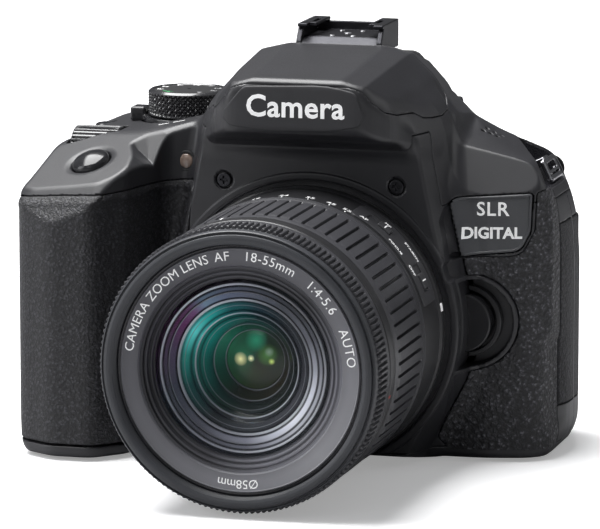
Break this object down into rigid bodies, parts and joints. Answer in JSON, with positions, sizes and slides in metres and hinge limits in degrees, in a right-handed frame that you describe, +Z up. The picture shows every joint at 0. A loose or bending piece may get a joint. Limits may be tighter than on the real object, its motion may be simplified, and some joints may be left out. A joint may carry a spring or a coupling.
{
  "type": "dslr camera",
  "caption": "Black single-lens-reflex camera with moulded hand grip, prism hump with pop-up flash, hinged rear screen and a ribbed zoom lens on a bayonet mount.",
  "frame": {"origin": "centre of the tripod socket on the base plane, under the optical axis", "axes": "+X to the right seen from the front, -Y along the optical axis towards the subject, +Z up"},
  "size_m": [0.1315, 0.128, 0.1019],
  "materials": {
    "black_plastic": "fine matte grain",
    "grip_rubber": "fine pebbled rubber",
    "soft_rubber": "smooth soft rubber",
    "ring_rubber": "ribbed rubber",
    "steel": "brushed",
    "lug_chrome": "polished",
    "screw_black": "black oxide",
    "gloss_black": "semi gloss",
    "control_plastic": "matte with print",
    "switch_grey": "matte",
    "dark_frame": "light-trap black",
    "glass": "coated",
    "group_glass": "coated",
    "screen_glass": "glossy cover",
    "mirror": "front-silvered",
    "sensor": "coated cover",
    "board": "solder mask",
    "cell": "matte case"
  },
  "bodies": {
    "body": {"front_cover": "black_plastic", "rear_cover": "black_plastic", "top_cover": "black_plastic", "bottom_cover": "black_plastic", "grip_rubber": "grip_rubber", "side_rubber": "grip_rubber", "thumb_rubber": "grip_rubber", "mount_ring": "steel", "body_screws": "screw_black", "mirror_box": "dark_frame", "focusing_screen": "glass", "pentamirror": "glass", "eyepiece_lens": "glass", "shutter_frame": "dark_frame", "image_sensor": "sensor", "main_board": "board", "battery": "cell", "tripod_socket": "steel", "hot_shoe": "steel", "strap_lugs": "lug_chrome", "jack_block": "dark_frame"},
    "mirror": {"main_mirror": "mirror"},
    "sub_mirror_body": {"sub_mirror": "mirror"},
    "curtain": {"shutter_curtain": "dark_frame"},
    "flash": {"flash_head": "black_plastic"},
    "release_button": {"shutter_button": "gloss_black"},
    "finger_dial": {"main_dial": "control_plastic"},
    "mode_wheel": {"mode_dial": "control_plastic"},
    "lever": {"power_lever": "gloss_black"},
    "iso": {"iso_button": "gloss_black"},
    "eyecup_body": {"eyecup": "soft_rubber"},
    "diopter": {"diopter_knob": "gloss_black"},
    "screen": {"lcd_hinge": "black_plastic", "lcd_panel": "black_plastic", "lcd_glass": "screen_glass"},
    "menu": {"menu_button": "control_plastic"},
    "info": {"info_button": "control_plastic"},
    "live_view": {"live_view_button": "control_plastic"},
    "af_on": {"af_on_button": "control_plastic"},
    "ae_lock": {"ae_lock_button": "control_plastic"},
    "playback": {"playback_button": "control_plastic"},
    "delete": {"delete_button": "control_plastic"},
    "rear_dial": {"control_dial": "control_plastic"},
    "cross": {"cross_keys": "control_plastic"},
    "set": {"set_button": "gloss_black"},
    "battery_hatch": {"battery_door": "control_plastic"},
    "hatch_latch": {"door_latch": "control_plastic"},
    "mic_flap": {"mic_door": "soft_rubber"},
    "hdmi_flap": {"hdmi_door": "soft_rubber"},
    "lens_release": {"lens_release_button": "gloss_black"},
    "pin": {"lock_pin": "steel"},
    "lens": {"lens_mount": "steel", "fixed_barrel": "black_plastic"},
    "zoom": {"zoom_ring": "ring_rubber"},
    "inner_barrel": {"front_barrel": "black_plastic", "front_glass": "glass"},
    "focus": {"focus_ring": "ring_rubber"},
    "focusing": {"focus_group": "group_glass"},
    "af_slider": {"af_switch": "switch_grey"},
    "is_slider": {"stabilizer_switch": "switch_grey"}
  },
  "joints": [
    {"name": "mirror_flip", "type": "hinge", "parent": "body", "child": "mirror", "pos_m": [0, 0.0105, 0.0468], "axis": [-1, 0, 0], "range_deg": [0, 43]},
    {"name": "sub_mirror_fold", "type": "hinge", "parent": "mirror", "child": "sub_mirror_body", "pos_m": [0, 0.00355, 0.03665], "axis": [-1, 0, 0], "range_deg": [0, 90]},
    {"name": "curtain_run", "type": "slide", "parent": "body", "child": "curtain", "axis": [0, 0, 1], "range_m": [0, 0.0195]},
    {"name": "flash_pop", "type": "hinge", "parent": "body", "child": "flash", "pos_m": [0, 0.001, 0.096], "axis": [-1, 0, 0], "range_deg": [0, 62]},
    {"name": "shutter_press", "type": "slide", "parent": "body", "child": "release_button", "axis": [0.1995, 0.3717, -0.9067], "range_m": [0, 0.0008]},
    {"name": "main_dial_turn", "type": "hinge", "parent": "body", "child": "finger_dial", "pos_m": [-0.058, 0, 0.0693], "axis": [1, 0, 0], "continuous": true},
    {"name": "mode_dial_turn", "type": "hinge", "parent": "body", "child": "mode_wheel", "pos_m": [-0.04, 0.016, 0.08], "axis": [0, 0, 1], "continuous": true},
    {"name": "power_lever_turn", "type": "hinge", "parent": "body", "child": "lever", "pos_m": [-0.04, 0.016, 0.077], "axis": [0, 0, -1], "range_deg": [0, 45]},
    {"name": "iso_press", "type": "slide", "parent": "body", "child": "iso", "axis": [0, 0, -1], "range_m": [0, 0.0005]},
    {"name": "eyecup_lift", "type": "slide", "parent": "body", "child": "eyecup_body", "axis": [0, 0, 1], "range_m": [0, 0.014]},
    {"name": "diopter_turn", "type": "hinge", "parent": "body", "child": "diopter", "pos_m": [-0.0206, 0.035, 0.083], "axis": [0, 1, 0], "range_deg": [-120, 120]},
    {"name": "screen_swing", "type": "hinge", "parent": "body", "child": "screen", "pos_m": [0.055, 0.038, 0.034], "axis": [0, 0, -1], "range_deg": [0, 175]},
    {"name": "menu_press", "type": "slide", "parent": "body", "child": "menu", "axis": [0, -1, 0], "range_m": [0, 0.0005]},
    {"name": "info_press", "type": "slide", "parent": "body", "child": "info", "axis": [0, -1, 0], "range_m": [0, 0.0005]},
    {"name": "live_view_press", "type": "slide", "parent": "body", "child": "live_view", "axis": [0, -1, 0], "range_m": [0, 0.0005]},
    {"name": "af_on_press", "type": "slide", "parent": "body", "child": "af_on", "axis": [0, -1, 0], "range_m": [0, 0.0005]},
    {"name": "ae_lock_press", "type": "slide", "parent": "body", "child": "ae_lock", "axis": [0, -1, 0], "range_m": [0, 0.0005]},
    {"name": "playback_press", "type": "slide", "parent": "body", "child": "playback", "axis": [0, -1, 0], "range_m": [0, 0.0005]},
    {"name": "delete_press", "type": "slide", "parent": "body", "child": "delete", "axis": [0, -1, 0], "range_m": [0, 0.0005]},
    {"name": "rear_dial_turn", "type": "hinge", "parent": "body", "child": "rear_dial", "pos_m": [-0.044, 0.036, 0.033], "axis": [0, 1, 0], "continuous": true},
    {"name": "cross_press", "type": "slide", "parent": "body", "child": "cross", "axis": [0, -1, 0], "range_m": [0, 0.0004]},
    {"name": "set_press", "type": "slide", "parent": "body", "child": "set", "axis": [0, -1, 0], "range_m": [0, 0.0005]},
    {"name": "battery_door_open", "type": "hinge", "parent": "body", "child": "battery_hatch", "pos_m": [-0.049, -0.005, 0.0001], "axis": [0, -1, 0], "range_deg": [0, 90]},
    {"name": "door_latch_slide", "type": "slide", "parent": "battery_hatch", "child": "hatch_latch", "axis": [1, 0, 0], "range_m": [0, 0.002]},
    {"name": "mic_door_open", "type": "hinge", "parent": "body", "child": "mic_flap", "pos_m": [0.057, 0.0043, 0.034], "axis": [0, 0, -1], "range_deg": [0, 100]},
    {"name": "hdmi_door_open", "type": "hinge", "parent": "body", "child": "hdmi_flap", "pos_m": [0.057, 0.0153, 0.034], "axis": [0, 0, -1], "range_deg": [0, 100]},
    {"name": "lens_release_press", "type": "slide", "parent": "body", "child": "lens_release", "axis": [0, 1, 0], "range_m": [0, 0.002]},
    {"name": "lock_pin_retract", "type": "slide", "parent": "body", "child": "pin", "axis": [0, 1, 0], "range_m": [0, 0.002]},
    {"name": "lens_bayonet_turn", "type": "hinge", "parent": "body", "child": "lens", "pos_m": [0, -0.022, 0.0334], "axis": [0, -1, 0], "range_deg": [0, 58]},
    {"name": "zoom_turn", "type": "hinge", "parent": "lens", "child": "zoom", "pos_m": [0, -0.054, 0.0334], "axis": [0, -1, 0], "range_deg": [0, 60]},
    {"name": "barrel_extend", "type": "slide", "parent": "lens", "child": "inner_barrel", "axis": [0, -1, 0], "range_m": [0, 0.016]},
    {"name": "focus_turn", "type": "hinge", "parent": "inner_barrel", "child": "focus", "pos_m": [0, -0.076, 0.0334], "axis": [0, -1, 0], "continuous": true},
    {"name": "focus_travel", "type": "slide", "parent": "lens", "child": "focusing", "axis": [0, -1, 0], "range_m": [-0.002, 0.002]},
    {"name": "af_switch_move", "type": "hinge", "parent": "lens", "child": "af_slider", "pos_m": [0, -0.032, 0.0334], "axis": [0, -1, 0], "range_deg": [0, 4.5]},
    {"name": "stabilizer_switch_move", "type": "hinge", "parent": "lens", "child": "is_slider", "pos_m": [0, -0.032, 0.0334], "axis": [0, -1, 0], "range_deg": [0, 4.5]}
  ],
  "couplings": [
    {"joint": "sub_mirror_fold", "follows": "mirror_flip", "ratio": 2},
    {"joint": "lock_pin_retract", "follows": "lens_release_press", "ratio": 1},
    {"joint": "barrel_extend", "follows": "zoom_turn", "m_per_rad": 0.015264}
  ]
}
